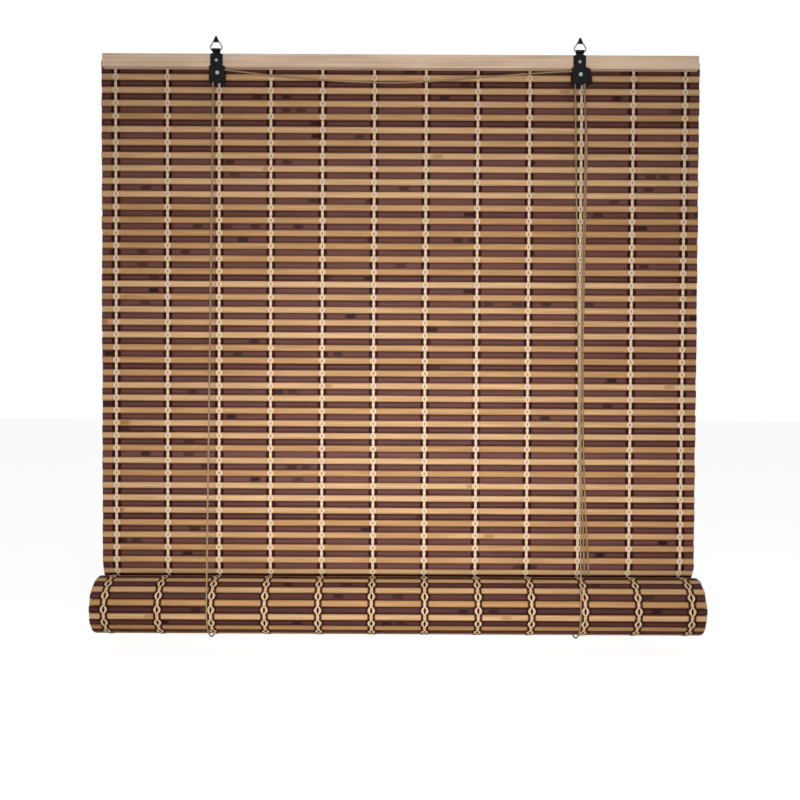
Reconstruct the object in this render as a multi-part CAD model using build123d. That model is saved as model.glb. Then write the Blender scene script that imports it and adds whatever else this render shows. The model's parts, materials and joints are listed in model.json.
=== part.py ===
from build123d import *
import math
import os
from typing import NamedTuple

# Bamboo roll up blind, partly rolled up, hung from two wire rings.
# All sizes are millimetres. X runs to the viewer's right, Y away from the viewer and Z up.
# The origin is the middle of the head rail's top face. Tilts and turns are degrees about X.

# Head rail and bottom rail, cut from the same planed batten
rail_length = 790.0
rail_depth = 10.0
rail_height = 17.5
rail_edge = 0.6

# Slats of the mat, light and dark by turns, counted from the top
slat_length = 800.0
slat_thickness = 1.6
slat_height = 8.2
slat_edge = 0.35
mat_top_drop = 5.50
top_gap = 0.50
low_gap = 0.13
drawn_gap = 0.55
even_slats = 81

# Chain stitched threads that hold the slats
warp_count = 12
warp_end_inset = 19.2
thread_thickness = 0.7
strand_width = 3.4
loop_width = 8.6
loop_overlap = 0.4

# Roll at the blind's lower end
roll_axis_y = -7.0
roll_axis_z = -731.1
roll_radius = 36.5
turn_pitch = 3.3
bend_radius = 30.0
wrap_play = 0.8
facing_turn = 17.6
facing_slats = 14
core_play = 0.3
core_tilt = 24.0

# Sheet steel hanger plates with a rolled eye
left_plate_x = -243.5
right_plate_x = 236.8
sheet_thickness = 1.2
plate_width = 16.5
plate_top_drop = 1.2
neck_width = 9.4
neck_rise = 0.4
plate_lap = 1.0
eye_width = 11.0
eye_z = 3.9
eye_play = 0.05
eye_seam = 0.4
plate_foot_drop = 39.0

# Wire rings and their crimped tips
wire_diameter = 1.5
ring_apex_z = 20.2
ring_corner_x = 7.8
ring_corner_z = 8.2
ring_foot_x = 6.6
ring_bend = 1.3
tip_foot_z = 14.2
tip_width = 8.0
tip_thickness = 2.6
tip_height = 7.2
tip_top_width = 1.8

# Screws, rivets and the cam's pin
screw_z = -9.6
screw_diameter = 2.6
screw_depth = 8.5
screw_head_diameter = 4.8
screw_head_height = 1.6
screw_hole_play = 0.2
recess_width = 0.7
recess_depth = 0.8
recess_share = 0.6
screw_edge_share = 0.8
rivet_edge_share = 0.7
axle_diameter = 3.0
axle_head_diameter = 5.4
axle_head_height = 1.1
pin_diameter = 2.2
pin_head_diameter = 3.6
pin_head_height = 0.7

# Pulleys and the covers over them
left_axle_x = -240.5
right_axle_x = 236.5
axle_z = -28.7
wheel_width = 5.8
wheel_diameter = 13.2
groove_diameter = 10.0
groove_width = 2.2
groove_spacing = 2.6
running_play = 0.05
side_play = 0.3
cover_left_reach = 11.2
cover_right_reach = 9.2
cover_top_drop = 19.6
cover_foot_drop = 40.0
prong_drop = 46.8
prong_width = 3.6
short_prong_drop = 42.0
prong_taper = 0.4
prong_root = 1.0
ear_corner = 3.0
ear_foot_rise = 2.5

# Cam of the cord lock
pin_x_offset = 10.0
pin_z_offset = 3.4
cam_head_diameter = 5.2
cam_play = 0.12
ear_reach = 13.0
ear_drop = 30.0
lever_x_offset = 16.0
lever_shoulder_z = -30.7
lever_foot_z = -38.8
lever_heel_z = -40.4
lever_heel_x_offset = 10.6
tooth_depth = 0.6
tooth_count = 4
cam_top_width = 0.8
lever_shoulder_inset = 0.8
cam_face_drop = 4.0
teeth_drop = 1.0

# Cords
cord_diameter = 2.0
cord_play = 0.05
left_loop_x = -246.55
right_loop_x = 235.5
loop_play = 0.45
cord_joint_play = 0.05
guide_z = -47.0
swing_in_z = -650.0
knot_diameter = 4.4
fillet_share = 0.45

# Staples that hold the mat and the cords' fixed ends to the head rail
staple_wire = 0.4
staple_width = 1.0
staple_depth = 7.0
staple_offset = 11.5
anchor_drop = 4.8
anchor_half_width = 3.2

mat_thickness = slat_thickness + 2 * thread_thickness
rail_front = -rail_depth / 2
rail_back = rail_depth / 2
mat_y = rail_back + mat_thickness / 2
mat_back = rail_back + mat_thickness
plate_front = rail_front - sheet_thickness
wheel_y = plate_front - side_play - wheel_width / 2
cover_back = wheel_y - wheel_width / 2 - side_play
cover_front = cover_back - sheet_thickness
front_groove_y = wheel_y - groove_spacing / 2
rear_groove_y = wheel_y + groove_spacing / 2
cord_bend = groove_diameter / 2 + cord_diameter / 2 + cord_play
eye_y = plate_front - wire_diameter / 2 - eye_play
cam_pin_z = axle_z + pin_z_offset
warp_reach = slat_length / 2 - warp_end_inset
warp_spacing = 2 * warp_reach / (warp_count - 1)
warp_xs = [warp_spacing * i - warp_reach for i in range(warp_count)]


class Place(NamedTuple):
    """Where a slat's middle lies in the blind's side view, and how far it leans back at its foot."""

    y: float
    z: float
    tilt: float

    def corner(self, back, up):
        """The side view point that lies so far towards the mat's back and up the mat from here."""
        turn = math.radians(self.tilt)
        return (
            self.y + back * math.cos(turn) - up * math.sin(turn),
            self.z + back * math.sin(turn) + up * math.cos(turn),
        )

    def at(self, x, back=0.0):
        """The location of this slat, or of a point behind its middle, at x along the blind."""
        y, z = self.corner(back, 0)
        return Location((x, y, z), (self.tilt, 0, 0))


# The mat's path in the side view: straight down, a bend back over the roll, then round the roll's back
wrap_radius = roll_radius + turn_pitch / 2 + wrap_play
bend_centre_y = mat_y + bend_radius
bend_centre_z = roll_axis_z + math.sqrt(
    (bend_radius + wrap_radius) ** 2 - (bend_centre_y - roll_axis_y) ** 2
)
bend_turn = math.atan2(bend_centre_z - roll_axis_z, bend_centre_y - roll_axis_y)
first_slat_z = -mat_top_drop - slat_height / 2


def hanging_place(distance):
    """The mat's place at a distance along it from the first slat's middle."""
    past = distance - (first_slat_z - bend_centre_z)
    if past <= 0:
        return Place(mat_y, first_slat_z - distance, 0.0)
    if past <= bend_radius * bend_turn:
        turn = past / bend_radius
        y = bend_centre_y - bend_radius * math.cos(turn)
        return Place(y, bend_centre_z - bend_radius * math.sin(turn), math.degrees(turn))
    turn = bend_turn - (past - bend_radius * bend_turn) / wrap_radius
    y = roll_axis_y + wrap_radius * math.cos(turn)
    return Place(y, roll_axis_z + wrap_radius * math.sin(turn), math.degrees(turn))


def hanging_mat():
    """Places of the slats from the top down to where the mat passes behind the roll's middle."""
    places, distance = [], 0.0
    while not places or places[-1].tilt >= 0:
        places.append(hanging_place(distance))
        share = (len(places) - 1) / (even_slats - 1)
        gap = top_gap + (low_gap - top_gap) * share if share < 1 else drawn_gap
        distance += slat_height + gap
    return places[:-1]


def spiral_radius(turn):
    """The rolled mat's middle radius at a turn from the roll's front, growing as the mat winds in."""
    return roll_radius - turn_pitch * turn / (2 * math.pi)


def rolled_mat():
    """Places of the rolled slats from the roll's back, under it and inwards to the bottom rail."""
    step = slat_height + drawn_gap
    turn = math.radians(facing_turn)
    for _ in range(facing_slats):
        turn -= step / spiral_radius(turn)
    core = math.hypot(rail_depth, rail_height) / 2 + core_play + slat_thickness / 2
    places = []
    while spiral_radius(turn) >= core:
        radius = spiral_radius(turn)
        y = roll_axis_y - radius * math.cos(turn)
        z = roll_axis_z + radius * math.sin(turn)
        places.append(Place(y, z, -180 - math.degrees(turn)))
        turn += step / radius
    return places


hanging_slats = hanging_mat()
rolled_slats = rolled_mat()
outer_turn = [p for p in rolled_slats if p.tilt > rolled_slats[0].tilt - 360]
first_rolled = len(hanging_slats)


# Shared shapes
def side_profile(points, x_from, x_to):
    """A solid whose side view is the polygon through the (y, z) points."""
    outline = Polyline(*[(x_from, y, z) for y, z in points], close=True)
    return extrude(make_face(outline), amount=x_to - x_from, dir=(1, 0, 0))


def front_profile(sketch, y_front, thickness):
    """A flat sketch in X and Z made solid from its front face at y_front towards the back."""
    return extrude(Plane((0, y_front, 0), x_dir=(1, 0, 0), z_dir=(0, -1, 0)) * sketch, -thickness)


def box_between(low, high):
    """A box from its lowest corner to its highest."""
    size = [b - a for a, b in zip(low, high)]
    centre = [(a + b) / 2 for a, b in zip(low, high)]
    return Pos(*centre) * Box(*size)


def rod_along_y(diameter, x, z, y_front, y_back):
    """A round rod along Y."""
    middle = Location((x, (y_front + y_back) / 2, z), (90, 0, 0))
    return middle * Cylinder(diameter / 2, y_back - y_front)


def outline_sketch(points):
    """A filled polygon through (x, z) points."""
    return make_face(Polyline(*points, close=True))


def box_sketch(left, right, top, foot):
    """A filled rectangle between two x and two z places."""
    return outline_sketch([(left, top), (right, top), (right, foot), (left, foot)])


def tube(path):
    """A cord's solid along a path."""
    start = Plane(origin=path @ 0, z_dir=path % 0)
    return sweep(start * Circle(cord_diameter / 2), path=path)


def filleted_path(points):
    """Straight runs through the points, joined by arcs as large as their two runs allow."""
    vectors = [Vector(*p) for p in points]
    radii = []
    for a, b, c in zip(vectors, vectors[1:], vectors[2:]):
        run = min((b - a).length, (c - b).length)
        radii.append(fillet_share * run / math.tan(math.radians((b - a).get_angle(c - b)) / 2))
    return FilletPolyline(*vectors, radius=radii)


# Head rail and mat
def make_head_rail():
    rail = box_between((-rail_length / 2, rail_front, -rail_height), (rail_length / 2, rail_back, 0))
    rail = chamfer(rail.edges().filter_by(Axis.X), rail_edge)
    for x in (left_plate_x, right_plate_x):
        rail -= rod_along_y(screw_diameter, x, screw_z, rail_front, rail_front + screw_depth)
    return rail - make_mat_staples() - make_cord_staples()


def make_slats(places, parity):
    """Every second slat of the hanging mat, each a solid of its own."""
    section = Rot(0, 90, 0) * RectangleRounded(slat_height, slat_thickness, slat_edge)
    slat = extrude(section, slat_length / 2, dir=(1, 0, 0), both=True)
    return Compound(children=[p.at(0) * slat for p in places[parity::2]])


def make_thread(side):
    """One thread of a warp, stitched wide over every second slat, before (-1) or behind (1) the mat."""
    straight = [p for p in hanging_slats if not p.tilt]
    bent = [p for p in hanging_slats if p.tilt]
    waist, belly = strand_width / 2, loop_width / 2
    reach = slat_height / 2 + loop_overlap
    top, foot = straight[0].z + reach, straight[-1].z - reach
    edges = [Line((-waist, top), (waist, top)), Line((-waist, foot), (waist, foot))]
    for x in (waist, -waist):
        z = top
        for p in straight[0 if side < 0 else 1 :: 2]:
            if z > p.z + reach:
                edges.append(Line((x, z), (x, p.z + reach)))
            middle = (math.copysign(belly, x), p.z)
            edges.append(ThreePointArc((x, p.z + reach), middle, (x, p.z - reach)))
            z = p.z - reach
        if z > foot:
            edges.append(Line((x, z), (x, foot)))
    sketch = make_face([edge for item in edges for edge in item.edges()])
    near = mat_y - mat_thickness / 2 if side < 0 else mat_y + slat_thickness / 2
    thread = front_profile(sketch, near, thread_thickness)
    inner, outer, flat = side * slat_thickness / 2, side * mat_thickness / 2, slat_height / 2 - slat_edge
    lining = [p.corner(inner, up) for p in bent for up in (flat, -flat)]
    lining.insert(0, straight[-1].corner(inner, -flat))
    cover = [p.corner(outer, up) for p in bent for up in (flat, -flat)]
    cover.insert(0, straight[-1].corner(outer, -flat))
    return thread + side_profile(cover + lining[::-1], -waist, waist)


def make_mat_staples():
    """One staple beside each warp, round the first slat and into the rail."""
    tip_y = rail_back - staple_depth
    slat_back = mat_y + slat_thickness / 2
    leg = (slat_height + top_gap) / 2
    staples = []
    for x in warp_xs:
        near = x - staple_offset if x > 0 else x + staple_offset
        low = near - staple_width / 2
        high = near + staple_width / 2
        crown = box_between(
            (low, slat_back, first_slat_z - leg - staple_wire / 2),
            (high, slat_back + staple_wire, first_slat_z + leg + staple_wire / 2),
        )
        for z in (first_slat_z - leg, first_slat_z + leg):
            crown += box_between(
                (low, tip_y, z - staple_wire / 2), (high, slat_back + staple_wire, z + staple_wire / 2)
            )
        staples.append(crown)
    return staples


def make_cord_staples():
    """The staple that holds each lift cord's fixed end against the rail's back."""
    crown_y = mat_back + cord_diameter + 2 * cord_play
    low_z = -anchor_drop - staple_wire / 2
    high_z = -anchor_drop + staple_wire / 2
    staples = []
    for x in (left_loop_x, right_loop_x):
        staple = box_between(
            (x - anchor_half_width, rail_back - staple_depth, low_z),
            (x + anchor_half_width, crown_y + staple_wire, high_z),
        )
        inner = anchor_half_width - staple_wire
        staple -= box_between(
            (x - inner, rail_back - staple_depth, low_z), (x + inner, crown_y, high_z)
        )
        staples.append(staple)
    return staples


# Roll
def make_mat_roll():
    """The rolled mat as one band wound inwards, with a ridge for each slat of its outer turn."""
    half, skin = slat_height / 2, slat_thickness / 2
    first, last = rolled_slats[0], rolled_slats[-1]
    outer = [first.corner(skin, half)]
    for p, below in zip(rolled_slats, rolled_slats[1:]):
        if p in outer_turn:
            groove_y = (p.corner(0, -half)[0] + below.corner(0, half)[0]) / 2
            groove_z = (p.corner(0, -half)[1] + below.corner(0, half)[1]) / 2
            outer += [p.corner(skin, -half), (groove_y, groove_z), below.corner(skin, half)]
        else:
            outer.append(below.corner(skin, 0))
    outer.append(last.corner(skin, -half))
    inner = [first.corner(-skin, half), *[p.corner(-skin, 0) for p in rolled_slats[1:]]]
    inner.append(last.corner(-skin, -half))
    return side_profile(outer + inner[::-1], -slat_length / 2, slat_length / 2)


def make_bottom_rail():
    rail = Box(rail_length, rail_depth, rail_height)
    rail = chamfer(rail.edges().filter_by(Axis.X), rail_edge)
    return Location((0, roll_axis_y, roll_axis_z), (core_tilt, 0, 0)) * rail


def make_roll_warps():
    """The warps over the roll's outer turn, where the mat's back shows."""
    half = slat_height / 2
    low, high = slat_thickness / 2, mat_thickness / 2
    under = [p.corner(low, up) for p in outer_turn for up in (half, -half)]
    over = [p.corner(high, up) for p in outer_turn for up in (half, -half)]
    band = side_profile(over + under[::-1], -strand_width / 2, strand_width / 2)
    stitch = extrude(SlotOverall(slat_height + 2 * loop_overlap, loop_width, rotation=90), thread_thickness)
    for p in outer_turn[(first_rolled + 1) % 2 :: 2]:
        band += p.at(0, low) * Rot(-90, 0, 0) * stitch
    return Compound(children=[Pos(x, 0, 0) * band for x in warp_xs])


# Hangers
def cover_outline(axle_x, prongs):
    """The cover's front outline: a plate with three prongs that the cords pass between."""
    left, right = axle_x - cover_left_reach, axle_x + cover_right_reach
    centre = (left + right) / 2
    plate = box_sketch(left, right, -cover_top_drop, -cover_foot_drop)
    starts = (left, centre - prong_width / 2, right - prong_width)
    for start, drop in zip(starts, prongs):
        if drop:
            end = start + prong_width
            plate += outline_sketch(
                [
                    (start, -cover_foot_drop + prong_root),
                    (end, -cover_foot_drop + prong_root),
                    (end - prong_taper, -drop),
                    (start + prong_taper, -drop),
                ]
            )
    return plate


def ear_outline(axle_x):
    """The corner that carries the cam's pin on the right hanger."""
    start, reach = axle_x + cover_right_reach - plate_lap, axle_x + ear_reach
    return outline_sketch(
        [
            (start, -cover_top_drop),
            (reach - ear_corner, -cover_top_drop),
            (reach, -cover_top_drop - ear_corner),
            (reach, -ear_drop + ear_foot_rise),
            (start, -ear_drop),
        ]
    )


def make_hanger_plate(plate_x, axle_x, has_cam):
    """The back plate: a neck rolled round the ring's foot, the screwed face and the pulley's back."""
    half, neck, eye = plate_width / 2, neck_width / 2, eye_width / 2
    sketch = outline_sketch(
        [
            (plate_x - half, -cover_top_drop - plate_lap),
            (plate_x - half, -plate_top_drop),
            (plate_x - neck, neck_rise),
            (plate_x - eye, eye_z),
            (plate_x + eye, eye_z),
            (plate_x + neck, neck_rise),
            (plate_x + half, -plate_top_drop),
            (plate_x + half, -cover_top_drop - plate_lap),
        ]
    )
    left, right = axle_x - cover_left_reach, axle_x + cover_right_reach
    sketch += box_sketch(left, right, -cover_top_drop, -plate_foot_drop)
    if has_cam:
        sketch += ear_outline(axle_x)
    plate = front_profile(sketch, plate_front, sheet_thickness)
    bore = wire_diameter / 2 + eye_play
    roll = Cylinder(bore + sheet_thickness, eye_width) - Cylinder(bore, eye_width)
    plate += Location((plate_x, eye_y, eye_z), (0, 90, 0)) * roll
    plate -= Location((plate_x, eye_y, eye_z), (0, 90, 0)) * Cylinder(bore, 2 * eye_width)
    plate -= box_between(
        (plate_x - eye_width, plate_front - eye_seam, eye_z - bore - sheet_thickness),
        (plate_x + eye_width, plate_front, eye_z),
    )
    hole = screw_diameter + 2 * screw_hole_play
    plate -= rod_along_y(hole, plate_x, screw_z, plate_front, rail_front)
    plate -= rod_along_y(axle_diameter, axle_x, axle_z, plate_front, rail_front)
    if has_cam:
        plate -= rod_along_y(pin_diameter, axle_x + pin_x_offset, cam_pin_z, plate_front, rail_front)
    return plate


def make_cover(axle_x, prongs, has_cam):
    """The cover in front of a pulley, with a roof that seats on the hanger plate."""
    sketch = cover_outline(axle_x, prongs)
    left, right = axle_x - cover_left_reach, axle_x + cover_right_reach
    if has_cam:
        sketch += ear_outline(axle_x)
    cover = front_profile(sketch, cover_front, sheet_thickness)
    cover += box_between(
        (left, cover_back, -cover_top_drop - sheet_thickness), (right, plate_front, -cover_top_drop)
    )
    cover -= rod_along_y(axle_diameter, axle_x, axle_z, cover_front, cover_back)
    if has_cam:
        cover -= rod_along_y(pin_diameter, axle_x + pin_x_offset, cam_pin_z, cover_front, cover_back)
    return cover


def make_axle(axle_x):
    """The rivet that a pulley turns on."""
    return make_rivet(axle_diameter, axle_head_diameter, axle_head_height, axle_x, axle_z)


def make_rivet(diameter, head_diameter, head_height, x, z):
    """A headed pin through a cover and its hanger plate."""
    rivet = rod_along_y(diameter, x, z, cover_front, rail_front)
    front = rod_along_y(head_diameter, x, z, cover_front - head_height, cover_front)
    front = fillet(front.edges().sort_by(Axis.Y)[0], rivet_edge_share * head_height)
    return rivet + front + rod_along_y(head_diameter, x, z, rail_front, rail_front + head_height / 2)


def make_wheel(axle_x):
    """A pulley wheel with two grooves."""
    wheel = Cylinder(wheel_diameter / 2, wheel_width)
    groove = Cylinder(wheel_diameter, groove_width) - Cylinder(groove_diameter / 2, groove_width)
    for side in (-1, 1):
        wheel -= Pos(0, 0, side * groove_spacing / 2) * groove
    wheel -= Cylinder(axle_diameter / 2 + running_play, 2 * wheel_width)
    return Location((axle_x, wheel_y, axle_z), (90, 0, 0)) * wheel


def make_screw(plate_x):
    """A pan head screw with a cross recess."""
    head = rod_along_y(screw_head_diameter, plate_x, screw_z, plate_front - screw_head_height, plate_front)
    head = fillet(head.edges().sort_by(Axis.Y)[0], screw_edge_share * screw_head_height)
    arm = screw_head_diameter * recess_share
    recess_y = plate_front - screw_head_height + recess_depth / 2
    recess = Pos(plate_x, recess_y, screw_z) * (
        Box(arm, recess_depth, recess_width) + Box(recess_width, recess_depth, arm)
    )
    shank = rod_along_y(screw_diameter, plate_x, screw_z, plate_front, rail_front + screw_depth)
    return head - recess + shank


def make_ring(plate_x):
    """A wire ring: an apex to hang it by, two corners and a foot in the plate's eye."""
    corners = [
        (plate_x, eye_y, ring_apex_z),
        (plate_x + ring_corner_x, eye_y, ring_corner_z),
        (plate_x + ring_foot_x, eye_y, eye_z),
        (plate_x - ring_foot_x, eye_y, eye_z),
        (plate_x - ring_corner_x, eye_y, ring_corner_z),
    ]
    path = FilletPolyline(*corners, radius=ring_bend, close=True)
    start = Plane(origin=path @ 0, z_dir=path % 0)
    return sweep(start * Circle(wire_diameter / 2), path=path)


def make_tip(plate_x):
    """The crimped sleeve that fills the ring's apex."""
    foot, tip_half, top = tip_width / 2, tip_top_width / 2, tip_foot_z + tip_height
    sketch = outline_sketch(
        [
            (plate_x - foot, tip_foot_z),
            (plate_x - tip_half, top),
            (plate_x + tip_half, top),
            (plate_x + foot, tip_foot_z),
        ]
    )
    tip = front_profile(sketch, eye_y - tip_thickness / 2, tip_thickness)
    return tip - make_ring(plate_x)


def make_cam():
    """The cord lock's cam: a round head on the pin, a toothed face towards the cords and a lever."""
    axle_x, pin_x = right_axle_x, right_axle_x + pin_x_offset
    face_x = axle_x + cord_bend + cord_diameter / 2 + cam_play
    top, foot = cam_pin_z + cam_head_diameter / 2, cam_pin_z - cam_head_diameter / 2 - cam_face_drop
    lever = outline_sketch(
        [
            (pin_x + cam_top_width / 2, top),
            (axle_x + lever_x_offset - lever_shoulder_inset, lever_shoulder_z),
            (axle_x + lever_x_offset, lever_foot_z),
            (axle_x + lever_heel_x_offset, lever_heel_z),
            (face_x, foot),
            (face_x, cam_pin_z),
            (pin_x - cam_top_width / 2, top),
        ]
    )
    first_tooth = cam_pin_z - teeth_drop
    for i in range(tooth_count):
        z = first_tooth + (foot - first_tooth) * (i + 0.5) / tooth_count
        lever -= Pos(face_x, z) * Rot(0, 0, 45) * Rectangle(tooth_depth, tooth_depth)
    cam = front_profile(lever, wheel_y - wheel_width / 2, wheel_width)
    return cam - rod_along_y(pin_diameter + 2 * running_play, pin_x, cam_pin_z, cover_back, plate_front)


# Cords
def tangent_turn(y, z, radius, side):
    """The turn at which a line from a point above the roll touches a circle round the roll's axis."""
    across, up = side * (y - roll_axis_y), z - roll_axis_z
    return math.atan2(up, across) - math.acos(radius / math.hypot(across, up))


def loop_point(x, radius, turn, side):
    return (x, roll_axis_y + side * radius * math.cos(turn), roll_axis_z + radius * math.sin(turn))


lift_loop_radius = wrap_radius + mat_thickness / 2 + cord_diameter / 2 + loop_play
anchor_y = mat_back + cord_diameter / 2 + cord_play
front_reach = {"left": front_groove_y, "right": rear_groove_y}


def make_front_run(name, start_x, loop_x):
    """A lift cord from the side of its pulley down to the front of its loop."""
    y = front_reach[name]
    turn = tangent_turn(y, guide_z, lift_loop_radius, -1)
    end = Vector(*loop_point(loop_x, lift_loop_radius, turn, -1))
    guide = Vector(start_x, y, guide_z)
    share = (swing_in_z - guide_z) / (end.Z - guide_z)
    swing = Vector(loop_x, guide.Y + share * (end.Y - guide.Y), swing_in_z)
    points = [(start_x, y, axle_z), tuple(guide)]
    if loop_x != start_x:
        points.append(tuple(swing))
    path = filleted_path([*points, tuple(end)])
    return tube(path)


def make_loop(name, loop_x):
    """A lift cord's loop under the roll."""
    front = tangent_turn(front_reach[name], guide_z, lift_loop_radius, -1)
    back = tangent_turn(anchor_y, -anchor_drop, lift_loop_radius, 1)
    give = cord_joint_play / lift_loop_radius
    path = ThreePointArc(
        loop_point(loop_x, lift_loop_radius, front - give, -1),
        loop_point(loop_x, lift_loop_radius, -math.pi / 2, -1),
        loop_point(loop_x, lift_loop_radius, back - give, 1),
    )
    return tube(path)


def make_back_run(loop_x):
    """A lift cord from the back of its loop up to its knot."""
    back = tangent_turn(anchor_y, -anchor_drop, lift_loop_radius, 1)
    top = (loop_x, anchor_y, -anchor_drop + staple_wire / 2)
    return tube(Line(loop_point(loop_x, lift_loop_radius, back, 1), top))


def make_knots():
    """The knots that stop the lift cords in their staples."""
    knots = []
    for x in (left_loop_x, right_loop_x):
        middle = -anchor_drop + staple_wire / 2 + knot_diameter / 2
        knots.append(Pos(x, rail_back + knot_diameter / 2 + cord_play, middle) * Sphere(knot_diameter / 2))
    return Compound(children=knots)


# The free cord between the pulleys sags a little, and both pull cords lie down the mat's front
sag_points = [
    (-172.4, -30.6),
    (-137.0, -33.9),
    (-102.7, -36.5),
    (-68.0, -38.3),
    (-34.2, -39.4),
    (1.3, -39.6),
    (35.5, -37.9),
    (70.0, -35.2),
    (104.0, -31.9),
    (136.0, -29.5),
    (167.2, -27.0),
]
pull_a_points = [
    (242.6, -10.7, -62.0),
    (245.4, -8.9, -100.0),
    (245.0, -4.4, -150.0),
    (245.3, -0.9, -205.0),
    (244.4, 1.6, -262.0),
    (244.8, 2.9, -322.0),
    (244.2, 3.4, -382.0),
    (244.9, 3.7, -438.0),
    (244.4, 3.8, -492.0),
    (245.6, 3.8, -545.0),
    (247.9, 3.8, -597.0),
    (249.6, 3.8, -645.0),
    (250.9, 3.8, -672.0),
    (252.0, 6.0, -694.2),
]
pull_b_points = [
    (242.6, -8.1, -62.0),
    (247.4, -6.4, -105.0),
    (247.5, -2.2, -155.0),
    (247.9, 0.7, -210.0),
    (246.8, 2.4, -266.0),
    (247.3, 3.3, -324.0),
    (246.6, 3.7, -384.0),
    (247.2, 3.8, -440.0),
    (247.5, 3.8, -494.0),
    (249.4, 3.8, -547.0),
    (251.8, 3.8, -599.0),
    (254.4, 3.8, -647.0),
    (256.2, 3.8, -672.0),
    (257.6, 6.0, -694.2),
]


def make_cross_cord():
    """The lift cord's run over the left pulley, across the blind and over the right pulley."""
    left, right = Vector(left_axle_x, axle_z), Vector(right_axle_x, axle_z)
    first, last = Vector(*sag_points[0]), Vector(*sag_points[-1])

    def leaving(centre, point, side):
        across, up = side * (point.X - centre.X), point.Y - centre.Y
        return math.atan2(up, across) + math.acos(cord_bend / math.hypot(across, up))

    def on_wheel(centre, turn, side):
        x = centre.X + side * cord_bend * math.cos(turn)
        return (x, front_groove_y, centre.Y + cord_bend * math.sin(turn))

    off = leaving(left, first, 1)
    on = leaving(right, last, -1)
    start = ThreePointArc(
        on_wheel(left, math.pi, 1), on_wheel(left, (math.pi + off) / 2, 1), on_wheel(left, off, 1)
    )
    span = [on_wheel(left, off, 1)]
    span += [(x, front_groove_y, z) for x, z in sag_points]
    span.append(on_wheel(right, on, -1))
    end = ThreePointArc(
        on_wheel(right, on, -1), on_wheel(right, (math.pi + on) / 2, -1), on_wheel(right, math.pi, -1)
    )
    return tube(Wire([*start.edges(), *filleted_path(span).edges(), *end.edges()]))


def make_lift_top():
    """The right lift cord's turn over its pulley."""
    turn = [
        (right_axle_x + cord_bend * math.cos(t), rear_groove_y, axle_z + cord_bend * math.sin(t))
        for t in (math.pi, math.pi / 2, 0)
    ]
    return tube(ThreePointArc(*turn))


def make_pull_cord(start_y, points):
    """A pull cord from the right pulley's side down the mat's front into the nip above the roll."""
    start = (right_axle_x + cord_bend, start_y, axle_z)
    path = filleted_path([start, *points])
    return tube(path)


left_cord_x = left_axle_x - cord_bend
right_cord_x = right_axle_x - cord_bend
left_prongs = (short_prong_drop, prong_drop, prong_drop)
right_prongs = (prong_drop, prong_drop, 0)
warp = Compound(children=[make_thread(-1), make_thread(1)])

nodes = {
    "head_rail": make_head_rail(),
    "light_slats": make_slats(hanging_slats, 0),
    "dark_slats": make_slats(hanging_slats, 1),
    "mat_staples": Compound(children=make_mat_staples()),
    "cord_staples": Compound(children=make_cord_staples()),
    "cord_knots": make_knots(),
    "mat_roll": make_mat_roll(),
    "bottom_rail": make_bottom_rail(),
    "roll_warps": make_roll_warps(),
    "hanger_plate_left": make_hanger_plate(left_plate_x, left_axle_x, False),
    "hanger_plate_right": make_hanger_plate(right_plate_x, right_axle_x, True),
    "plate_screw_left": make_screw(left_plate_x),
    "plate_screw_right": make_screw(right_plate_x),
    "hanging_ring_left": make_ring(left_plate_x),
    "hanging_ring_right": make_ring(right_plate_x),
    "ring_tip_left": make_tip(left_plate_x),
    "ring_tip_right": make_tip(right_plate_x),
    "pulley_cover_left": make_cover(left_axle_x, left_prongs, False),
    "lock_cover_right": make_cover(right_axle_x, right_prongs, True),
    "pulley_left": make_wheel(left_axle_x),
    "pulley_right": make_wheel(right_axle_x),
    "pulley_axle_left": make_axle(left_axle_x),
    "pulley_axle_right": make_axle(right_axle_x),
    "lock_cam": make_cam(),
    "cam_pin": make_rivet(
        pin_diameter, pin_head_diameter, pin_head_height, right_axle_x + pin_x_offset, cam_pin_z
    ),
    "lift_cord_left_front": make_front_run("left", left_cord_x, left_loop_x),
    "lift_cord_left_loop": make_loop("left", left_loop_x),
    "lift_cord_left_back": make_back_run(left_loop_x),
    "lift_cord_right_front": make_front_run("right", right_cord_x, right_loop_x),
    "lift_cord_right_loop": make_loop("right", right_loop_x),
    "lift_cord_right_back": make_back_run(right_loop_x),
    "lift_cord_right_top": make_lift_top(),
    "cross_cord": make_cross_cord(),
    "pull_cord_a": make_pull_cord(front_groove_y, pull_a_points),
    "pull_cord_b": make_pull_cord(rear_groove_y, pull_b_points),
}
for number, x in enumerate(warp_xs, start=1):
    nodes[f"warp_{number:02d}"] = Pos(x, 0, 0) * warp

os.makedirs("parts", exist_ok=True)
for name, solid in nodes.items():
    export_step(solid, f"parts/{name}.step")
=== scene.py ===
"""The looks of a bamboo roll up blind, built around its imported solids. All lengths are metres."""

import json
import logging
import math
import random
from collections.abc import Callable
from dataclasses import dataclass, field, replace
from enum import Enum

import bmesh
import bpy
from mathutils import Matrix, Vector

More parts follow.
